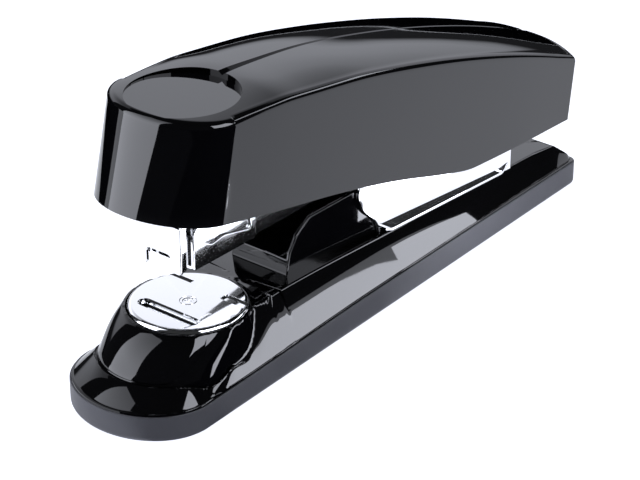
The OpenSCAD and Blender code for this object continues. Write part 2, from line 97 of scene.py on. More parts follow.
def smooth(t):
    t = min(1.0, max(0.0, t))
    return t * t * (3 - 2 * t)


def spline(points):
    """Smooth curve through (x, value) points, monotone between them."""
    xs = [p[0] for p in points]
    ys = [p[1] for p in points]
    n = len(xs)
    d = [(ys[i + 1] - ys[i]) / (xs[i + 1] - xs[i]) for i in range(n - 1)]
    m = [d[0]] + [0 if d[i - 1] * d[i] < 0 else (d[i - 1] + d[i]) / 2 for i in range(1, n - 1)] + [d[-1]]

    def value(x):
        x = min(max(x, xs[0]), xs[-1])
        i = min(n - 2, max(0, bisect.bisect_right(xs, x) - 1))
        h = xs[i + 1] - xs[i]
        t = (x - xs[i]) / h
        return ((1 + 2 * t) * (1 - t) ** 2 * ys[i] + t * (1 - t) ** 2 * h * m[i]
                + t * t * (3 - 2 * t) * ys[i + 1] + t * t * (t - 1) * h * m[i + 1])
    return value


def arc(cx, cz, r, a0, a1, n):
    """Points on an arc from angle a0 to a1, in degrees."""
    return [(cx + r * math.cos(math.radians(lerp(a0, a1, i / n))),
             cz + r * math.sin(math.radians(lerp(a0, a1, i / n)))) for i in range(n + 1)]


def rounded(points, radius, steps=5):
    """Closed outline with its corners rounded. points are (x, z) or (x, z, own radius)."""
    out = []
    n = len(points)
    for i in range(n):
        p = Vector(points[i][:2])
        r = points[i][2] if len(points[i]) > 2 else radius
        a = Vector(points[i - 1][:2]) - p
        b = Vector(points[(i + 1) % n][:2]) - p
        la, lb = a.length, b.length
        a.normalize()
        b.normalize()
        half = a.angle(b) / 2
        cut = min(r / math.tan(half), la * 0.49, lb * 0.49) if r > 0 else 0
        if cut < 1e-4:
            out.append((p.x, p.y))
            continue
        p0, p1 = p + a * cut, p + b * cut
        for k in range(steps + 1):
            t = k / steps
            q = p0 * (1 - t) ** 2 + p * 2 * t * (1 - t) + p1 * t * t
            out.append((q.x, q.y))
    return out


# ---------- mesh helpers ----------


def piece(name, verts, faces, sharp=35):
    """Object from millimetre points in the anvil's frame."""
    mesh = bpy.data.meshes.new(name)
    mesh.from_pydata([((x + AX) * MM, y * MM, z * MM) for x, y, z in verts], [], faces)
    bm = bmesh.new()
    bm.from_mesh(mesh)
    bmesh.ops.remove_doubles(bm, verts=bm.verts, dist=0.002 * MM)
    bmesh.ops.dissolve_degenerate(bm, edges=bm.edges, dist=0.001 * MM)
    bmesh.ops.recalc_face_normals(bm, faces=bm.faces)
    bm.to_mesh(mesh)
    bm.free()
    obj = bpy.data.objects.new(name, mesh)
    bpy.context.scene.collection.objects.link(obj)
    shade(obj, sharp)
    return obj


def shade(obj, sharp=35):
    obj.data.polygons.foreach_set("use_smooth", [True] * len(obj.data.polygons))
    obj.data.set_sharp_from_angle(angle=math.radians(sharp))


def bake(obj, sharp=35):
    """Applies the object's modifiers to its mesh."""
    dg = bpy.context.evaluated_depsgraph_get()
    mesh = bpy.data.meshes.new_from_object(obj.evaluated_get(dg))
    obj.modifiers.clear()
    obj.data = mesh
    shade(obj, sharp)
    return obj


def bevel(obj, width, angle=40, segments=2, sharp=35):
    m = obj.modifiers.new("bevel", "BEVEL")
    m.width = width * MM
    m.segments = segments
    m.limit_method = "ANGLE"
    m.angle_limit = math.radians(angle)
    m.use_clamp_overlap = True
    return bake(obj, sharp)


def solidify(obj, thickness, sharp=35):
    m = obj.modifiers.new("solid", "SOLIDIFY")
    m.thickness = thickness * MM
    m.offset = -1
    m.use_even_offset = True
    return bake(obj, sharp)


def cut(obj, *tools, sharp=35):
    """Takes the tools away from the object."""
    for t in tools:
        m = obj.modifiers.new("cut", "BOOLEAN")
        m.operation = "DIFFERENCE"
        m.solver = "EXACT"
        m.object = t
        bake(obj, sharp)
        bpy.data.objects.remove(t)
    return obj


def loft(name, rings, caps=True, sharp=35):
    """Surface through closed rings of equal length."""
    n = len(rings[0])
    verts = [p for r in rings for p in r]
    faces = []
    for k in range(len(rings) - 1):
        for i in range(n):
            j = (i + 1) % n
            faces.append((k * n + i, k * n + j, (k + 1) * n + j, (k + 1) * n + i))
    if caps:
        faces.append(tuple(reversed(range(n))))
        faces.append(tuple((len(rings) - 1) * n + i for i in range(n)))
    return piece(name, verts, faces, sharp)


def plate(name, outline, y0, y1, edge=0.15, sharp=35):
    """Flat sheet standing along X, from its outline in X and Z."""
    obj = loft(name, [[(x, y, z) for x, z in outline] for y in (y0, y1)], sharp=sharp)
    return bevel(obj, edge, angle=50) if edge else obj


def block(name, lo, hi, edge=0.0):
    outline = [(lo[0], lo[2]), (hi[0], lo[2]), (hi[0], hi[2]), (lo[0], hi[2])]
    return plate(name, outline, lo[1], hi[1], edge)


def lathe(name, profile, centre=(0, 0), steps=96, sharp=35):
    """Solid of revolution about a vertical axis, from (radius, z) points."""
    rings = []
    for r, z in profile:
        rings.append([(centre[0] + r * math.cos(2 * math.pi * i / steps),
                       centre[1] + r * math.sin(2 * math.pi * i / steps), z) for i in range(steps)])
    return loft(name, rings, sharp=sharp)


def tube(name, path, radius, sides=12):
    """Round wire along a path, closed at both ends."""
    rings = []
    pts = [Vector(p) for p in path]
    normal = None
    for i, p in enumerate(pts):
        tangent = (pts[min(i + 1, len(pts) - 1)] - pts[max(i - 1, 0)]).normalized()
        normal = Vector((0, 0, 1)) if normal is None else normal
        if abs(normal.dot(tangent)) > 0.95:
            normal = Vector((0, 1, 0))
        normal = (normal - tangent * normal.dot(tangent)).normalized()
        side = tangent.cross(normal)
        rings.append([tuple(p + (normal * math.cos(2 * math.pi * k / sides)
                                 + side * math.sin(2 * math.pi * k / sides)) * radius) for k in range(sides)])
    return loft(name, rings)


def join(name, objs):
    """One object from several, all built at the world origin."""
    bm = bmesh.new()
    for o in objs:
        bm.from_mesh(o.data)
    mesh = bpy.data.meshes.new(name)
    bm.to_mesh(mesh)
    bm.free()
    for o in objs:
        bpy.data.objects.remove(o)
    obj = bpy.data.objects.new(name, mesh)
    bpy.context.scene.collection.objects.link(obj)
    shade(obj)
    return obj


# ---------- materials ----------


def surface(name, colour, rough, metal=0.0, grain=0.0, grain_scale=900.0, wear=0.0, wear_colour=None,
            variation=0.08, smudge=0.03, stretch=None, round_edge=0.0, ior=1.5):
    """Procedural material: colour variation, smudges, fine bump, lighter worn edges and rounded edges."""
    m = bpy.data.materials.new(name)
    m.use_nodes = True
    nt = m.node_tree
    nodes, links = nt.nodes, nt.links
    bsdf = nodes["Principled BSDF"]
    bsdf.inputs["Metallic"].default_value = metal
    bsdf.inputs["IOR"].default_value = ior
    coord = nodes.new("ShaderNodeTexCoord")
    mapping = nodes.new("ShaderNodeMapping")
    links.new(coord.outputs["Object"], mapping.inputs["Vector"])
    if stretch:
        mapping.inputs["Scale"].default_value = stretch

    def noise(scale, detail, vector):
        n = nodes.new("ShaderNodeTexNoise")
        n.inputs["Scale"].default_value = scale
        n.inputs["Detail"].default_value = detail
        links.new(vector, n.inputs["Vector"])
        return n.outputs["Fac"]

    def ramp(value, low, high, to_low, to_high):
        r = nodes.new("ShaderNodeMapRange")
        r.inputs["From Min"].default_value = low
        r.inputs["From Max"].default_value = high
        r.inputs["To Min"].default_value = to_low
        r.inputs["To Max"].default_value = to_high
        links.new(value, r.inputs["Value"])
        return r.outputs["Result"]

    broad = noise(35.0, 3.0, coord.outputs["Object"])
    mix = nodes.new("ShaderNodeMix")
    mix.data_type = "RGBA"
    mix.inputs["A"].default_value = (*[c * (1 - variation) for c in colour], 1)
    mix.inputs["B"].default_value = (*[min(1, c * (1 + variation)) for c in colour], 1)
    links.new(ramp(broad, 0.3, 0.7, 0, 1), mix.inputs["Factor"])
    colour_out = mix.outputs["Result"]
    if wear > 0:
        geo = nodes.new("ShaderNodeNewGeometry")
        worn = nodes.new("ShaderNodeMix")
        worn.data_type = "RGBA"
        links.new(colour_out, worn.inputs["A"])
        worn.inputs["B"].default_value = (*(wear_colour or [min(1, c * 1.6 + 0.02) for c in colour]), 1)
        links.new(ramp(geo.outputs["Pointiness"], 0.52, 0.62, 0, wear), worn.inputs["Factor"])
        colour_out = worn.outputs["Result"]
    links.new(colour_out, bsdf.inputs["Base Color"])
    spots = noise(120.0, 4.0, mapping.outputs["Vector"])
    links.new(ramp(spots, 0.35, 0.75, rough, rough + smudge), bsdf.inputs["Roughness"])
    normal = None
    if round_edge > 0:
        bev = nodes.new("ShaderNodeBevel")
        bev.samples = 4
        bev.inputs["Radius"].default_value = round_edge * MM
        normal = bev.outputs["Normal"]
    if grain > 0:
        bump = nodes.new("ShaderNodeBump")
        bump.inputs["Strength"].default_value = grain
        bump.inputs["Distance"].default_value = 0.0002
        links.new(noise(grain_scale, 3.0, mapping.outputs["Vector"]), bump.inputs["Height"])
        if normal is not None:
            links.new(normal, bump.inputs["Normal"])
        normal = bump.outputs["Normal"]
    if normal is not None:
        links.new(normal, bsdf.inputs["Normal"])
    return m


MAT = {
    "gloss_black": surface("gloss_black", (0.0025, 0.0025, 0.0035), 0.03, grain=0.012, grain_scale=260.0,
                           wear=0.15, variation=0.2, smudge=0.02, ior=1.52),
    "sole_grey": surface("sole_grey", (0.075, 0.077, 0.094), 0.48, grain=0.28, grain_scale=2600.0, wear=0.2,
                         variation=0.08, smudge=0.12, round_edge=0.35),
    "pad_rubber": surface("pad_rubber", (0.03, 0.03, 0.032), 0.75, grain=0.4, grain_scale=1800.0, wear=0.1,
                          round_edge=0.2),
    "chrome": surface("chrome", (0.93, 0.935, 0.945), 0.035, metal=1.0, grain=0.01, grain_scale=300.0,
                      wear=0.25, wear_colour=(0.98, 0.98, 1.0), variation=0.02, smudge=0.035),
    "steel": surface("steel", (0.6, 0.61, 0.63), 0.22, metal=1.0, grain=0.08, grain_scale=700.0, wear=0.3,
                     stretch=(1, 14, 14), variation=0.06, smudge=0.12, round_edge=0.12),
    "spring_steel": surface("spring_steel", (0.55, 0.55, 0.57), 0.26, metal=1.0, grain=0.05, wear=0.2,
                            smudge=0.1),
    "black_plastic": surface("black_plastic", (0.02, 0.02, 0.022), 0.3, grain=0.15, grain_scale=1600.0,
                             wear=0.2, smudge=0.1, round_edge=0.2),
    "zinc": surface("zinc", (0.5, 0.51, 0.52), 0.3, metal=1.0, grain=0.1, grain_scale=1200.0, wear=0.3,
                    variation=0.1, smudge=0.15, round_edge=0.12),
}
BODY = {n: b for b, ns in frame["record"]["behaviour"]["bodies"].items() for n in ns}
SLOT = {s["node"]: s["material_slot"] for s in frame["record"]["subparts"]}


def finish_piece(obj, *nodes, flat_weights=True):
    """Gives a piece its material and body, for its CAD nodes. Weighted normals keep large faces flat."""
    slot = SLOT[nodes[0]]
    obj.data.materials.clear()
    obj.data.materials.append(MAT[slot])
    if flat_weights:
        obj.modifiers.new("weights", "WEIGHTED_NORMAL").keep_sharp = True
    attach(obj, BODY[nodes[0]])
    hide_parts(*nodes)
    return obj


# ---------- handle ----------

WALL = 2.4
FILLET = 2.0
NOSE_LOW = (HANDLE_FRONT, 16.0, HANDLE_HALF - 1.6)
NOSE_TOP = (HANDLE_FRONT + 7.4, 13.0, HANDLE_HALF - 1.2)
THUMB_R = 14.3
SPINE_FRONT, SPINE_REAR = 0.0, 132.0
crest = spline([(-16, CREST_Z - 0.9), (-8, CREST_Z - 0.5), (0, CREST_Z - 0.25), (14, CREST_Z - 0.05),
                (25, CREST_Z - 0.75), (44.5, CREST_Z - 2.9), (65, CREST_Z - 6.9), (87, CREST_Z - 12.3),
                (108, CREST_Z - 18.5), (122.5, CREST_Z - 23.4), (141, CREST_Z - 30.4), (150, CREST_Z - 34.0)])
crown = spline([(-18, 0.3), (0, 1.1), (14, 2.2), (34, 3.4), (55, 3.8), (150, 3.9)])
half_low = spline([(-6, HANDLE_HALF - 1.6), (14, HANDLE_HALF - 0.6), (45, HANDLE_HALF), (110, HANDLE_HALF),
                   (141, HANDLE_HALF - 0.5)])
lower = spline([(-23, 56.2), (6, 51.1), (35, 46.1), (57.5, 40.9), (80, 34.4), (90, 31.9), (98, 31.2),
                (137.8, 29.3)])
groove_half = spline([(14, 1.25), (30, 0.8), (60, 0.5), (145, 0.4)])
groove_depth = spline([(14, 0.9), (30, 0.5), (60, 0.32), (145, 0.25)])
REAR_TOP, REAR_LOW, REAR_BULGE = 141.0, 137.8, 3.2
SIDE_LEAN = 0.45
THUMB_DEPTH, THUMB_TILT = 1.25, 2.1


def handle_top(x, y):
    h = half_low(x)
    z = crest(x) - crown(x) * abs(y / h) ** 3
    w = groove_half(x)
    if x > 13.0 and abs(y) < w:
        z -= groove_depth(x) * (1 - abs(y) / w)
    return z


def handle_plan(n_nose=56, n_side=120, n_rear=20):
    """(lower point, upper point) round the handle: nose, +Y side, rear and back along the -Y side."""
    half = []
    for i in range(n_nose):
        t = math.radians(90 * i / n_nose)
        low, top = [(e[0] + e[1] * (1 - math.cos(t)), e[2] * math.sin(t)) for e in (NOSE_LOW, NOSE_TOP)]
        half.append((low, top))
    x_low, x_top = NOSE_LOW[0] + NOSE_LOW[1], NOSE_TOP[0] + NOSE_TOP[1]
    for i in range(n_side + 1):
        t = i / n_side
        low, top = lerp(x_low, REAR_LOW, t), lerp(x_top, REAR_TOP, t)
        half.append(((low, half_low(low)), (top, half_low(top) - SIDE_LEAN)))
    for i in range(1, n_rear + 1):
        t = i / n_rear
        y = math.cos(math.radians(90 * t))
        bulge = REAR_BULGE * (1 - y * y)
        half.append(((REAR_LOW + bulge, half_low(REAR_LOW) * y),
                     (REAR_TOP + bulge, (half_low(REAR_TOP) - SIDE_LEAN) * y)))
    mirror = [((a[0], -a[1]), (b[0], -b[1])) for a, b in reversed(half[1:-1])]
    return half + mirror


def build_handle():
    plan = handle_plan()
    walls, fillets, tops = 8, 7, 22
    data = []
    for low, top in plan:
        spine = min(max(top[0], SPINE_FRONT), SPINE_REAR)
        d = Vector((spine - top[0], -top[1]))
        reach = d.length
        d = d / reach if reach > 1e-6 else Vector((1, 0))
        fillet_z = handle_top(top[0] + d.x * FILLET, top[1] + d.y * FILLET)
        data.append((low, top, d, reach, groove_half(max(top[0], 14)), fillet_z))

    def inwards(top, d, off):
        return top[0] + d.x * off, top[1] + d.y * off

    rings = []
    for k in range(walls + 1):
        t = k / walls
        rings.append([(lerp(low[0], top[0], t), lerp(low[1], top[1], t), lerp(lower(low[0]), z - FILLET, t))
                      for low, top, d, reach, w, z in data])
    for k in range(1, fillets + 1):
        a = math.radians(90 * k / fillets)
        rings.append([(*inwards(top, d, FILLET * (1 - math.cos(a))), z - FILLET * (1 - math.sin(a)))
                      for low, top, d, reach, w, z in data])
    groove_steps = [2.2, 1.0, 0.75, 0.5, 0.25, 0.0]
    offsets = [lambda reach, w, t=k / tops: lerp(FILLET, reach - groove_steps[0] * w, t)
               for k in range(1, tops + 1)]
    offsets += [lambda reach, w, share=share: reach - share * w for share in groove_steps[1:]]
    for offset in offsets:
        ring = [inwards(top, d, offset(reach, w)) for low, top, d, reach, w, z in data]
        rings.append([(x, y, handle_top(x, y)) for x, y in ring])
    shell = loft("handle_shell", rings, caps=False)
    solidify(shell, WALL)
    bevel(shell, 0.35, angle=60, segments=3)
    tool = lathe("thumb_tool", [(THUMB_R, 0), (THUMB_R + 0.35, 8)], steps=128)
    floor_at = Matrix.Translation((AX * MM, 0, 0)) @ Matrix.Translation((0, 0, (CREST_Z - THUMB_DEPTH) * MM))
    tilt = Matrix.Rotation(math.radians(THUMB_TILT), 4, "Y")
    tool.data.transform(floor_at @ tilt @ Matrix.Translation((-AX * MM, 0, 0)))
    cut(shell, tool, sharp=30)
    return finish_piece(shell, "handle_cover")


build_handle()


# ---------- base ----------

TOP_R = DISC_R + 0.85
TOP_Z = cover_hi[2]
NOSE_A = 17.4
INSET = 0.4
REAR_CREASE = 146.5
REAR_HALF = 13.0
SPINE_END = 136.0
crease_y = spline([(8, 13.5), (55, 12.3), (100, 11.0), (REAR_CREASE, 9.4)])
crease_z = spline([(8, TOP_Z), (27, TOP_Z - 0.4), (55, TOP_Z - 1.8), (100, 17.8), (REAR_CREASE, 14.9)])
seam_z = spline([(-34, SOLE_TOP), (0, 8.1), (25, 8.5), (50, 8.8), (100, 8.6), (155, 8.2)])
knee_z = spline([(10, 18.1), (55, 18.1), (67, 17.6), (80, 16.5), (95, 14.9), (110, 13.4), (155, 11.0)])
knee_in = spline([(10, 3.1), (55, 2.95), (100, 2.3), (155, 1.9)])
FOOT_X, FOOT_Z, FOOT_R = -8.0, 12.4, 17.5
WALL_SLOPE, FOOT_SLOPE = 9.5, 6
RING_WIDTH, RING_DEPTH = 0.8, 0.8
TOWER_BULGE = 0.1
LEVELS = 110
PAD_X, PAD_HALF, PAD_L = (-14, 46, 96, 124), (11, 10, 8, 7), 14
SCREWS = ((26, 12.6), (26, -12.6), (138, 5), (138, -5))


def base_half(x):
    """Half width of the base's side at x, along the straight sides."""
    t = (x - (BASE_FRONT + NOSE_A)) / (BASE_REAR - BASE_FRONT - NOSE_A)
    return lerp(BASE_HALF, REAR_HALF, min(1, max(0, t)))


def soft_min(a, b, k):
    h = max(k - abs(a - b), 0) / k
    return min(a, b) - h * h * k / 4


def soft_max(a, b, k):
    return -soft_min(-a, -b, k)


def outline(inset, n_nose=64, n_side=170, n_corner=10, n_rear=12, corner=3.2):
    """Half of the base's outline moved inwards, from the nose tip along +Y to the middle of the rear."""
    cx = BASE_FRONT + NOSE_A
    pts = []
    for i in range(n_nose):
        t = math.radians(90 * i / n_nose)
        pts.append((cx - (NOSE_A - inset) * math.cos(t), (BASE_HALF - inset) * math.sin(t)))
    x_end = BASE_REAR - corner
    for i in range(n_side + 1):
        x = lerp(cx, x_end, i / n_side)
        pts.append((x, base_half(x) - inset))
    y_end = base_half(x_end) - inset
    r = corner - inset
    for i in range(1, n_corner + 1):
        a = math.radians(90 * i / n_corner)
        pts.append((x_end + r * math.sin(a), y_end - r * (1 - math.cos(a))))
    y_rear = y_end - r
    for i in range(1, n_rear + 1):
        pts.append((BASE_REAR - inset, y_rear * (1 - i / n_rear)))
    return pts


def both_sides(half):
    return half + [(x, -y, *rest) for x, y, *rest in reversed(half[1:-1])]


def tower_z(x, y):
    """Round tower that leans back from its foot to the seat of the disc."""
    wall = TOP_Z - max(0.0, math.hypot(x, y) - TOP_R) * WALL_SLOPE
    if math.hypot(x, y) <= TOP_R:
        return TOP_Z
    # s is the share of the way up at which the leaning circle passes through (x, y)
    dc, dr = -FOOT_X, TOP_R - FOOT_R
    px = x - FOOT_X
    a = dc * dc - dr * dr
    b = -2 * (px * dc + FOOT_R * dr)
    c = px * px + y * y - FOOT_R * FOOT_R
    if c > 0:
        lean = FOOT_Z - (math.hypot(px, y) - FOOT_R) * FOOT_SLOPE
    else:
        root = math.sqrt(max(0.0, b * b - 4 * a * c))
        near, far = (-b - root) / (2 * a), (-b + root) / (2 * a)
        s = min(1.0, max(0.0, near if near >= 0 else far))
        lean = FOOT_Z + (TOP_Z - FOOT_Z) * (s + TOWER_BULGE * math.sin(math.pi * s))
    return min(TOP_Z, max(lean, wall))


def body_z(x, a, fx):
    """Moulded body without the tower, a millimetres inwards from the foot, which is at fx along X."""
    seam = seam_z(fx)
    front = smooth((-1 - fx) / 15)
    z = None
    if front < 1:
        rise, rise_top = smooth((fx - 4) / 10), smooth((fx + 3) / 8)
        a_knee = lerp(1.3, knee_in(x), rise)
        z_knee = lerp(seam + 4.2, knee_z(x), rise)
        a_crease = base_half(x) - INSET - crease_y(x)
        z_crease = lerp(seam + 5.2, crease_z(x), rise_top)
        flank = seam + (z_knee - seam) * a / a_knee
        upper = z_knee + (z_crease - z_knee) * (a - a_knee) / (a_crease - a_knee)
        z = soft_min(soft_min(flank, upper, 0.9), z_crease, 0.7)
    if front > 0:
        width, power = lerp(2.6, 6.7, front), lerp(2.7, 1.2, smooth(front * 2.5))
        ledge = seam + 4.65 * (1 - (1 - min(1, a / width)) ** power)
        z = ledge if z is None else lerp(z, ledge, front)
    return max(z, min(seam + 0.5, seam + a * 8))


def base_z(x, y, a, fx):
    body = body_z(x, a, fx)
    if x > REAR_CREASE - 12:
        rear = seam_z(155) + (BASE_REAR - INSET - x) * (crease_z(REAR_CREASE) - seam_z(155)) / (
            BASE_REAR - INSET - REAR_CREASE)
        body = soft_min(body, max(rear, seam_z(155)), 0.7)
    if x > 30:
        return body
    z = min(TOP_Z, soft_max(tower_z(x, y), body, lerp(2.2, 0.4, smooth((-2 - fx) / 10))))
    ring = min(math.hypot(x - FOOT_X, y) - FOOT_R, math.hypot(x, y) - TOP_R - (TOP_Z - FOOT_Z) / WALL_SLOPE)
    if 0 < ring < RING_WIDTH and x < 4:
        z -= RING_DEPTH * math.sin(math.pi * ring / RING_WIDTH) * (1 - smooth((x + 3) / 6))
    return z


def base_rings(levels=LEVELS, samples=300):
    """Rings from the foot to the spine; each column is spread by its length over the surface."""
    columns = []
    for fx, fy in outline(INSET):
        spine = min(max(fx, 0.0), SPINE_END)
        reach = math.hypot(fx - spine, fy)
        pts, run = [], [0.0]
        for i in range(samples + 1):
            u = i / samples
            x, y = lerp(fx, spine, u), fy * (1 - u)
            pts.append((x, y, base_z(x, y, u * reach, fx)))
            if i:
                step = math.dist(pts[-1], pts[-2])
                inside = pts[-1][2] > TOP_Z - 0.02 or (fx > 20 and y < crease_y(x) - 0.8)
                run.append(run[-1] + step * (0.12 if inside else 1.0))
        column = []
        j = 0
        for k in range(levels + 1):
            want = run[-1] * k / levels
            while j < samples - 1 and run[j + 1] < want:
                j += 1
            t = (want - run[j]) / max(1e-9, run[j + 1] - run[j])
            column.append(tuple(lerp(pts[j][c], pts[j + 1][c], min(1, t)) for c in range(3)))
        columns.append(column)
    columns = columns + [[(x, -y, z) for x, y, z in c] for c in reversed(columns[1:-1])]
    return [[c[k] for c in columns] for k in range(levels + 1)]


def build_base():
    rings = base_rings()
    n = len(rings[0])
    verts = [p for r in rings for p in r]
    faces = []
    for k in range(len(rings) - 1):
        for i in range(n):
            j = (i + 1) % n
            faces.append((k * n + i, k * n + j, (k + 1) * n + j, (k + 1) * n + i))
    faces.append(tuple(reversed(range(n))))
    shell = piece("base_shell", verts, faces, sharp=40)
    seat = lathe("seat_tool", [(DISC_R - 1.2, 0), (DISC_R - 1.2, 18.2), (DISC_R + 0.35, 18.2),
                               (DISC_R + 0.35, TOP_Z + 6)], steps=128)
    room = block("room_tool", (20, -9.7, 0), (148, 9.7, 9.6))
    cut(shell, seat, room, sharp=40)
    return finish_piece(shell, "base_cover")


def build_sole():
    """Matt tray: rounded lower edge, hollow inside, with recesses for the pads and the screws."""
    edge = 1.7
    floor, wall = 2.4, 2.2
    levels = [(edge * (1 - math.sin(math.radians(a))), 0.6 + edge * (1 - math.cos(math.radians(a))), 0)
              for a in range(0, 91, 15)]
    levels += [(0.0, -0.3, 1), (0.12, -0.08, 1), (0.35, 0.0, 1), (wall, 0.0, 1), (wall, floor, 0)]
    rings = []
    for inset, z, on_seam in levels:
        rings.append([(x, y, z + (seam_z(x) if on_seam else 0)) for x, y in both_sides(outline(inset))])
    sole = loft("sole_tray", rings, sharp=40)
    tools = []
    for i, x in enumerate(PAD_X):
        half = PAD_HALF[i] + 0.1
        tools.append(block("pad_tool", (x - PAD_L / 2 - 0.1, -half, -1), (x + PAD_L / 2 + 0.1, half, 1.5)))
    for x, y in SCREWS:
        tools.append(lathe("screw_tool", [(3.1, -1), (3.1, 9)], centre=(x, y), steps=40))
    cut(sole, *tools, sharp=40)
    return finish_piece(sole, "base_sole")


def build_cap():
    """Lens on the front of the tower, between the disc's front edge and the ring at the foot."""
    proud, rows, across = 0.28, 26, 72
    verts = []
    for k in range(rows + 1):
        s = lerp(0.015, 1.0, k / rows)
        cx, r = lerp(FOOT_X, 0, s), lerp(FOOT_R, TOP_R, s)
        z = FOOT_Z + (TOP_Z - FOOT_Z) * (s + TOWER_BULGE * math.sin(math.pi * s))
        z = min(z, TOP_Z - 0.02)
        widen = math.sin(math.radians(90 * s)) ** 0.8
        limit = math.radians(lerp(40.0, 57.0, widen) + 9 * math.sin(math.pi * s))
        for i in range(across + 1):
            a = math.pi + limit * lerp(-1, 1, i / across)
            out = proud * min(1, 6 * (1 - abs(2 * i / across - 1)), 0.35 + 8 * min(s, 1.02 - s))
            verts.append((cx + (r + out) * math.cos(a), (r + out) * math.sin(a), z + out * 0.5 * (1 - s)))
    w = across + 1
    faces = [(k * w + i, k * w + i + 1, (k + 1) * w + i + 1, (k + 1) * w + i)
             for k in range(rows) for i in range(across)]
    cap = piece("crescent_cap", verts, faces)
    bm = bmesh.new()
    bm.from_mesh(cap.data)
    bm.normal_update()
    if sum(f.normal.x for f in bm.faces) > 0:
        bmesh.ops.reverse_faces(bm, faces=bm.faces)
    bm.to_mesh(cap.data)
    bm.free()
    solidify(cap, 0.7)
    bevel(cap, 0.12, angle=50)
    return finish_piece(cap, "nose_cap")


build_base()
build_sole()
build_cap()


# ---------- anvil disc ----------


def build_disc():
    t = 1.2
    r = DISC_R
    edge = [(r - 1.3 + 1.3 * math.sin(math.radians(a)), DISC_Z - 1.3 + 1.3 * math.cos(math.radians(a)))
            for a in range(0, 91, 10)]
    profile = [(0.01, DISC_Z - t), (r - 1.6, DISC_Z - t), (r - 1.2, DISC_Z - 1.8), (r - 0.25, DISC_Z - 1.8),
               (r, DISC_Z - 1.55)] + edge[::-1] + [(0.01, DISC_Z)]
    disc = lathe("anvil_plate", profile, steps=144)
    slot_x, slot_l, slot_w = -7.4, 18.6, 2.8

    def capsule(grow, z0, z1):
        pts = arc(0, slot_l / 2 - slot_w / 2, slot_w / 2 + grow, 0, 180, 14) + arc(
            0, -slot_l / 2 + slot_w / 2, slot_w / 2 + grow, 180, 360, 14)
        return [(slot_x + x, y, z0) for x, y in pts], [(slot_x + x, y, z1) for x, y in pts]
    a0, a1 = capsule(0.0, DISC_Z - 3, DISC_Z - 0.35)
    b0, b1 = capsule(0.5, DISC_Z - 0.02, DISC_Z + 1)
    slot = loft("slot_tool", [a0, a1, b0, b1])
    tools = [slot]
    for side in (1, -1):
        gx = 7.2
        rings = []
        for grow, z in ((-0.35, DISC_Z - 0.55), (0.35, DISC_Z - 0.02), (0.9, DISC_Z + 0.8)):
            pts = rounded([(gx - 1.1 - grow, 5.6 - grow), (gx + 1.1 + grow, 5.6 - grow),
                           (gx + 1.1 + grow, 17), (gx - 1.1 - grow, 17)], 0.7 + max(0, grow) * 0.6, 4)
            rings.append([(x, y * side, z) for x, y in pts])
        tools.append(loft("groove_tool", rings))
    ring = lathe("ring_tool", [(2.25, DISC_Z - 0.45), (2.25, DISC_Z - 0.1), (2.5, DISC_Z + 0.3),
                               (2.55, DISC_Z + 1)], steps=64)
    tools.append(ring)
    cut(disc, *tools, sharp=28)
    return finish_piece(disc, "anvil_disc")


def build_rivet():
    z = DISC_Z
    profile = [(0.01, z - 1.9), (1.1, z - 1.9), (1.1, z - 0.5), (2.2, z - 0.48), (2.2, z - 0.12),
               (2.05, z + 0.02), (1.5, z + 0.03), (1.3, z - 0.12), (0.01, z - 0.14)]
    head = lathe("rivet_head", profile, steps=64)
    tools = []
    for i in range(3):
        t = block("star_tool", (-1.0, -0.14, z - 0.35), (1.0, 0.14, z + 0.5))
        turn = Matrix.Rotation(math.radians(60 * i), 4, "Z")
        t.data.transform(Matrix.Translation((AX * MM, 0, 0)) @ turn @ Matrix.Translation((-AX * MM, 0, 0)))
        tools.append(t)
    cut(head, *tools)
    return finish_piece(head, "anvil_rivet")


build_disc()
build_rivet()


# ---------- magazine ----------

MAG_Z, MAG_TOP, MAG_HALF = chan_lo[2], chan_hi[2], chan_hi[1]
SHEET = 0.8
GUIDE_T = 0.65


def build_channel():
    """Folded sheet with rounded lower edges."""
    r_out, r_in = 1.3, 0.5
    outer = arc(-MAG_HALF + r_out, MAG_Z + r_out, r_out, 180, 270, 6) + arc(
        MAG_HALF - r_out, MAG_Z + r_out, r_out, 270, 360, 6)
    inner = arc(MAG_HALF - r_out, MAG_Z + r_out, r_in, 360, 270, 6) + arc(
        -MAG_HALF + r_out, MAG_Z + r_out, r_in, 270, 180, 6)
    section = [(-MAG_HALF, MAG_TOP)] + outer + [(MAG_HALF, MAG_TOP), (MAG_HALF - SHEET, MAG_TOP)] + inner + [
        (-MAG_HALF + SHEET, MAG_TOP)]
    x0, x1 = chan_lo[0] - AX, chan_hi[0] - AX
    obj = loft("magazine_tray", [[(x, y, z) for y, z in section] for x in (x0, x1)])
    bevel(obj, 0.12, angle=60)
    hole = lathe("hole_tool", [(2.55, -12), (2.55, 12)], steps=48)
    hole.data.transform(Matrix.Translation((-AX * MM, 0, 0)))
    hole.data.transform(Matrix.Translation(((AX + PIVOT[0]) * MM, 0, PIVOT[1] * MM)) @ Matrix.Rotation(
        math.radians(90), 4, "X"))
    cut(obj, hole)
    return finish_piece(obj, "magazine_channel")


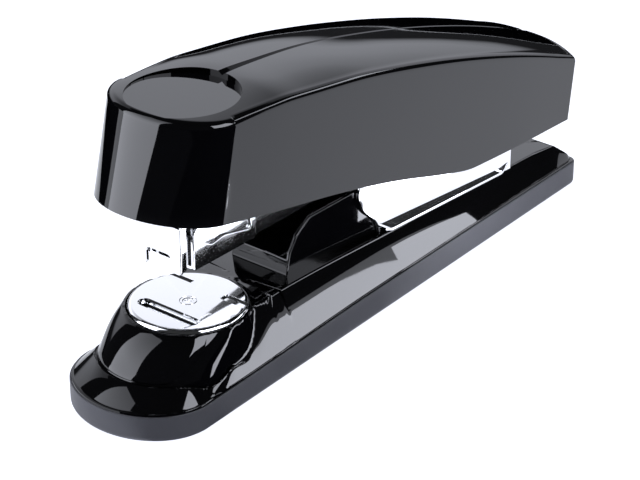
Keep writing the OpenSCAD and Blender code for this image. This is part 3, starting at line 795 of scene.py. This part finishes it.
def build_guide():
    """Head of the magazine: front plate with two legs, short flanges and windowed side plates."""
    x0 = guide_lo[0] - AX
    leg_z, top = guide_lo[2], guide_hi[2]
    half, leg, notch = 7.4, 3.5, leg_z + 4.6
    t = 0.8
    front = rounded([(-half, leg_z, 0.8), (-half + leg, leg_z, 0.9), (-half + leg, notch, 1.2),
                     (half - leg, notch, 1.2), (half - leg, leg_z, 0.9), (half, leg_z, 0.8),
                     (half, top, 0.6), (-half, top, 0.6)], 0.6)
    face = loft("face", [[(x, y, z) for y, z in front] for x in (x0, x0 + t)])
    bevel(face, 0.22, angle=50, segments=3)
    parts = [face]
    for s in (1, -1):
        fl = rounded([(x0 + 0.3, leg_z + 0.5), (x0 + 2.1, leg_z + 0.9), (x0 + 2.1, top), (x0 + 0.3, top)],
                     0.3)
        ys = sorted((s * half, s * (half - GUIDE_T)))
        parts.append(plate("flange", fl, ys[0], ys[1], 0.1))
        y_in, y_out = MAG_HALF, MAG_HALF + GUIDE_T
        rear = guide_hi[0] - AX
        side_top = MAG_TOP
        edge = rounded([(-6.0, leg_z, 0.5), (rear, leg_z, 1.0), (rear, side_top, 1.4), (-4.6, side_top, 1.6),
                        (-6.0, side_top - 1.6, 0.8)], 0.6)
        ys = sorted((s * y_in, s * y_out))
        side = loft("side", [[(x, y, z) for x, z in edge] for y in ys])
        window = rounded([(-3.0, 44.4, 0.4), (-1.8, 42.6, 0.4), (0.6, 41.5, 0.8), (5, 42.3, 1.5),
                          (14.6, 40.2, 0.4), (15.4, 41.0, 0.4), (15.0, 42.9, 0.4), (5.5, 44.3, 1.5)], 0.4)
        w = loft("window_tool", [[(x, y, z) for x, z in window] for y in (ys[0] - 1, ys[1] + 1)])
        cut(side, w)
        bevel(side, 0.13, angle=50)
        parts.append(side)
        ys = sorted((s * MAG_HALF, s * (MAG_HALF + GUIDE_T)))
        parts.append(block("ear", (-4.6, ys[0], side_top - 0.5), (2.4, ys[1], top), 0.08))
    lid = block("lid", (x0, -8.0, top - 1), (x0 + 15.2, 8.0, top))
    cut(lid, block("lid_tool", (x0 + 0.8, -6.6, top - 2), (x0 + 4.4, 6.6, top + 1)))
    bevel(lid, 0.12, angle=50)
    parts.append(lid)
    return finish_piece(join("magazine_head", parts), "front_guide")


build_channel()
build_guide()


# ---------- well and bracket ----------


def build_well():
    front, rear = well_lo[0] - AX, well_hi[0] - AX
    top, half = well_hi[2], well_hi[1]
    foot = crease_z(front) - 0.4
    edge = rounded([(front - 0.4, foot - 2, 0), (rear, foot - 4, 0), (rear, top, 0.8),
                    (front + 9.5, top, 3.0), (front + 4.0, top - 3.6, 2.2), (front + 1.4, top - 7.5, 2.5),
                    (front + 0.3, foot + 0.8, 0.4)], 0.8, 7)
    body = loft("magazine_seat", [[(x, y, z) for x, z in edge] for y in (-half, half)])
    inside = block("inside_tool", (front - 4, -8.3, top - 9.2), (rear + 4, 8.3, top + 4))
    cut(body, inside)
    bevel(body, 0.4, angle=55, segments=3)
    return finish_piece(body, "magazine_well")


def bracket_curve():
    """Front edge of the side plates: an S that springs from the base and leans back at the top."""
    foot = crease_z(64) - 0.3
    line = spline([(foot, 64.2), (22.2, 63.6), (24.4, 62.0), (27.4, 58.6), (30.6, 56.1), (34.2, 55.4),
                   (38.6, 56.6), (43.0, 60.2)])
    return [(line(foot + (43.0 - foot) * i / 30), foot + (43.0 - foot) * i / 30) for i in range(31)]


def build_bracket():
    y_in, y_out = 9.5, 10.5
    rear = bracket_hi[0] - AX
    top = bracket_hi[2]
    px = PIVOT[0]
    outline = bracket_curve()
    outline += [(lerp(60.2, px - 8, 0.25), lerp(43.0, top, 0.42)),
                (lerp(60.2, px - 8, 0.6), lerp(43.0, top, 0.8))]
    outline += [(px - 8, top), (px + 2, top)]
    outline += [(px + 4.6, top - 0.9), (px + 6, top - 1.9), (rear, 41.5), (rear, crease_z(rear) - 0.3)]
    outline += [(x, crease_z(x) - 0.3) for x in (115, 105, 95, 85, 75, 68)]
    parts = []
    for s in (1, -1):
        ys = sorted((s * y_in, s * y_out))
        side = loft("cheek", [[(x, y, z) for x, z in outline] for y in ys])
        bevel(side, 0.25, angle=50, segments=3)
        parts.append(side)
        lip = []
        for k in range(41):
            t = k / 40
            x = lerp(64.5, rear - 1.2, t)
            z = crease_z(x) + 0.35 + 1.6 * smooth((t - 0.93) / 0.07) + 0.9 * smooth((0.05 - t) / 0.05)
            y = lerp(lerp(12.4, 11.3, t), 10.4, smooth((t - 0.93) / 0.07))
            lip.append((x, y, z))
        rings = [[(x, s * (y_out - 0.4), z - 0.45), (x, s * y, z - 0.45), (x, s * (y + 0.15), z - 0.2),
                  (x, s * (y + 0.15), z + 0.25), (x, s * y, z + 0.5), (x, s * (y_out - 0.4), z + 0.5)]
                 for x, y, z in lip]
        parts.append(loft("lip", rings))
    floor_pts = [(x, crease_z(x) + 0.02) for x in (80, 95, 110, rear)]
    floor_edge = floor_pts + [(x, z + 1.0) for x, z in reversed(floor_pts)]
    parts.append(loft("floor", [[(x, y, z) for x, z in floor_edge] for y in (-y_in, y_in)]))
    return finish_piece(join("hinge_cheeks", parts), "hinge_bracket")


build_well()
build_bracket()


# ---------- springs ----------


def coil(node, name, axis, turns, wire):
    lo, hi = box_mm(node)
    r = (hi[1] - lo[1]) / 2 - wire
    steps = int(turns * 20)
    pts = []
    for i in range(steps + 1):
        a = 2 * math.pi * turns * i / steps
        t = i / steps
        if axis == "z":
            c = ((lo[0] + hi[0]) / 2 - AX, (lo[1] + hi[1]) / 2)
            pts.append((c[0] + r * math.cos(a), c[1] + r * math.sin(a), lerp(lo[2] + wire, hi[2] - wire, t)))
        else:
            zc = (lo[2] + hi[2]) / 2
            pts.append((lerp(lo[0] + wire, hi[0] - wire, t) - AX, r * math.sin(a), zc + r * math.cos(a)))
    return finish_piece(tube(name, pts, wire), node, flat_weights=False)


def squeeze(obj):
    """Gives the spring a mesh of its own; it is not shortened."""
    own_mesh(obj)


spring_anvil = coil("anvil_spring", "spring_anvil", "z", 7, 0.4)
squeeze(spring_anvil)
spring_return = coil("return_spring", "spring_return", "z", 5.5, 0.45)
squeeze(spring_return)
coil("handle_spring", "spring_handle", "z", 6, 0.5)
spring_pusher = coil("pusher_spring", "spring_pusher", "x", 34, 0.35)
squeeze(spring_pusher)


# ---------- CAD nodes that stay as they are ----------

for name, node in frame["nodes"].items():
    if not node.hide_render:
        node.data.materials.clear()
        node.data.materials.append(MAT[SLOT[name]])
        shade(node, 30)


# ---------- stage, light and camera ----------


def emitter(name, strength):
    """Unlit material; strength is a number or a function that builds the strength from the node tree."""
    m = bpy.data.materials.new(name)
    m.use_nodes = True
    nt = m.node_tree
    nt.nodes.clear()
    out = nt.nodes.new("ShaderNodeOutputMaterial")
    glow = nt.nodes.new("ShaderNodeEmission")
    glow.inputs["Color"].default_value = (*TINT, 1)
    nt.links.new(glow.outputs[0], out.inputs["Surface"])
    if callable(strength):
        nt.links.new(strength(nt), glow.inputs["Strength"])
    else:
        glow.inputs["Strength"].default_value = strength
    return m


def stage_mesh(name, verts, faces, material, seen=("glossy",)):
    """Stage surface in millimetres from the anvil's axis, seen only by the named kinds of ray."""
    mesh = bpy.data.meshes.new(name)
    mesh.from_pydata([((x + AX) * MM, y * MM, z * MM) for x, y, z in verts], [], faces)
    mesh.materials.append(material)
    obj = bpy.data.objects.new(name, mesh)
    bpy.context.scene.collection.objects.link(obj)
    obj.visible_camera = "camera" in seen
    obj.visible_diffuse = "diffuse" in seen
    obj.visible_glossy = "glossy" in seen
    obj.visible_transmission = False
    obj.visible_shadow = "shadow" in seen
    return obj


def floor_stage():
    size = 3000
    m = bpy.data.materials.new("floor")
    m.use_nodes = True
    b = m.node_tree.nodes["Principled BSDF"]
    b.inputs["Base Color"].default_value = (0.62, 0.64, 0.68, 1)
    b.inputs["Roughness"].default_value = 0.8
    b.inputs["Specular IOR Level"].default_value = 0.0
    b.inputs["Emission Color"].default_value = (*TINT, 1)
    b.inputs["Emission Strength"].default_value = FLOOR_GLOW
    corners = [(-size, -size, 0), (size, -size, 0), (size, size, 0), (-size, size, 0)]
    stage_mesh("floor", corners, [(0, 1, 2, 3)], m, ("camera", "diffuse", "glossy", "shadow"))


def black_flag():
    """Black cloth on the floor on the camera's side, seen only in reflections."""
    m = emitter("black_cloth", 0.0)
    far = 6000
    pts = [(-3, -20.6)]
    pts += [(-3 + far * math.cos(math.radians(a)), -20.6 + far * math.sin(math.radians(a)))
            for a in (310, 300, 270, 240, 210, 180, 164)]
    stage_mesh("black_flag", [(x, y, 0.05) for x, y in pts], [tuple(range(len(pts)))], m)
    near = [(-40, -60), (60, -63), (114, -63), (100, -40), (85, -25), (60, -19), (-3, -20.6), (-40, -20)]
    stage_mesh("near_flag", [(x, y, 0.04) for x, y in near], [tuple(range(len(near)))], m)
    arcs = [math.radians(lerp(-8, 112, i / 12)) for i in range(13)]
    ring = [(230 * math.cos(a), 230 * math.sin(a)) for a in arcs]
    ring += [(2900 * math.cos(a), 2900 * math.sin(a)) for a in reversed(arcs)]
    stage_mesh("back_flag", [(x, y, 0.05) for x, y in ring], [tuple(range(len(ring)))], m)


def dome_box(name, azimuths, elevations, radiance, distance=1500):
    """Part of a large sphere, its radiance following the elevation through (degrees, radiance) points."""
    verts, faces = [], []
    n, m = 24, 24
    for j in range(m + 1):
        e = math.radians(lerp(*elevations, j / m))
        for i in range(n + 1):
            a = math.radians(lerp(*azimuths, i / n))
            verts.append((distance * math.cos(a) * math.cos(e), distance * math.sin(a) * math.cos(e),
                          distance * math.sin(e)))
    for j in range(m):
        for i in range(n):
            k = j * (n + 1) + i
            faces.append((k, k + 1, k + n + 2, k + n + 1))

    def strength(nt):
        coord = nt.nodes.new("ShaderNodeNewGeometry")
        split = nt.nodes.new("ShaderNodeSeparateXYZ")
        nt.links.new(coord.outputs["Position"], split.inputs[0])
        ramp = nt.nodes.new("ShaderNodeFloatCurve")
        norm = nt.nodes.new("ShaderNodeMath")
        norm.operation = "DIVIDE"
        norm.inputs[1].default_value = distance * MM
        nt.links.new(split.outputs["Z"], norm.inputs[0])
        nt.links.new(norm.outputs[0], ramp.inputs["Value"])
        curve = ramp.mapping.curves[0]
        top = max(r for _, r in radiance)
        pts = [(math.sin(math.radians(e)), r / top) for e, r in radiance]
        curve.points[0].location = pts[0]
        curve.points[1].location = pts[-1]
        for p in pts[1:-1]:
            curve.points.new(*p)
        for p in curve.points:
            p.handle_type = "VECTOR"
        ramp.mapping.update()
        scale = nt.nodes.new("ShaderNodeMath")
        scale.operation = "MULTIPLY"
        scale.inputs[1].default_value = top
        nt.links.new(ramp.outputs[0], scale.inputs[0])
        return scale.outputs[0]
    stage_mesh(name, verts, faces, emitter(name, strength))


def right_cards():
    """Low cards along the right: the base's flank sees them, the handle's side looks over them."""
    white = emitter("right_card", 6.8)
    for name, y, edge in (("low_card", -62, ((5, 8), (25, 8), (34, 12.5), (85, 11), (110, 8), (126, 4))),
                          ("rear_card", -40, ((95, 13.5), (136, 13.5)))):
        verts = [(x, y, 0.2) for x, _ in edge] + [(x, y, z) for x, z in reversed(edge)]
        stage_mesh(name, verts, [tuple(range(len(verts)))], white)


def light(name, direction, distance, size, power):
    """Area light that looks at the object from (azimuth, elevation); not seen in reflections."""
    a, e = math.radians(direction[0]), math.radians(direction[1])
    d = Vector((math.cos(a) * math.cos(e), math.sin(a) * math.cos(e), math.sin(e)))
    data = bpy.data.lights.new(name, "AREA")
    data.shape = "RECTANGLE"
    data.size, data.size_y = size
    data.energy = power
    obj = bpy.data.objects.new(name, data)
    obj.location = d * distance + Vector((0, 0, 0.03))
    obj.rotation_euler = (-d).to_track_quat("-Z", "Y").to_euler()
    obj.visible_glossy = False
    bpy.context.scene.collection.objects.link(obj)


TINT = (0.93, 0.955, 1.05)
FLOOR_GLOW = 1.08
floor_stage()
black_flag()
right_cards()
dome_box("left_box", (121, 165), (0.05, 62), [(0, 4.4), (30, 3.8), (60, 1.5), (90, 1.4)], distance=320)
dome_box("right_strip", (-52, -15), (24, 31), [(0, 5), (90, 5)])
dome_box("ledge_box", (-114, -55), (27, 58), [(0, 6.5), (90, 6.5)])
dome_box("back_box", (-12, 97), (2, 46), [(0, 0.03), (7, 0.04), (9.5, 0.7), (12, 1.0), (18, 1.2), (26, 1.25),
                                          (32, 0.95), (40, 0.5), (60, 0.2)])
light("key", (100, 60), 1.3, (1.0, 1.0), 8)

world = bpy.data.worlds.new("studio")
world.use_nodes = True
world.node_tree.nodes["Background"].inputs["Color"].default_value = (0.92, 0.95, 1.0, 1)
world.node_tree.nodes["Background"].inputs["Strength"].default_value = 0.03
bpy.context.scene.world = world
bpy.context.scene.view_settings.view_transform = "Standard"


def place_camera():
    azimuth, elevation, distance = math.radians(-50.654), math.radians(27.803), 646.26
    target = Vector((40.43 + AX, -9.54, 27.0)) * MM
    back = Vector((math.sin(azimuth) * math.cos(elevation), -math.cos(azimuth) * math.cos(elevation),
                   math.sin(elevation)))
    data = bpy.data.cameras.new("camera")
    data.sensor_width = 36.0
    data.lens = 140.6
    data.clip_start, data.clip_end = 0.01, 30
    cam = bpy.data.objects.new("camera", data)
    cam.location = target + back * distance * MM
    cam.rotation_mode = "QUATERNION"
    cam.rotation_quaternion = (-back).to_track_quat("-Z", "Y")
    bpy.context.scene.collection.objects.link(cam)
    bpy.context.scene.camera = cam


place_camera()
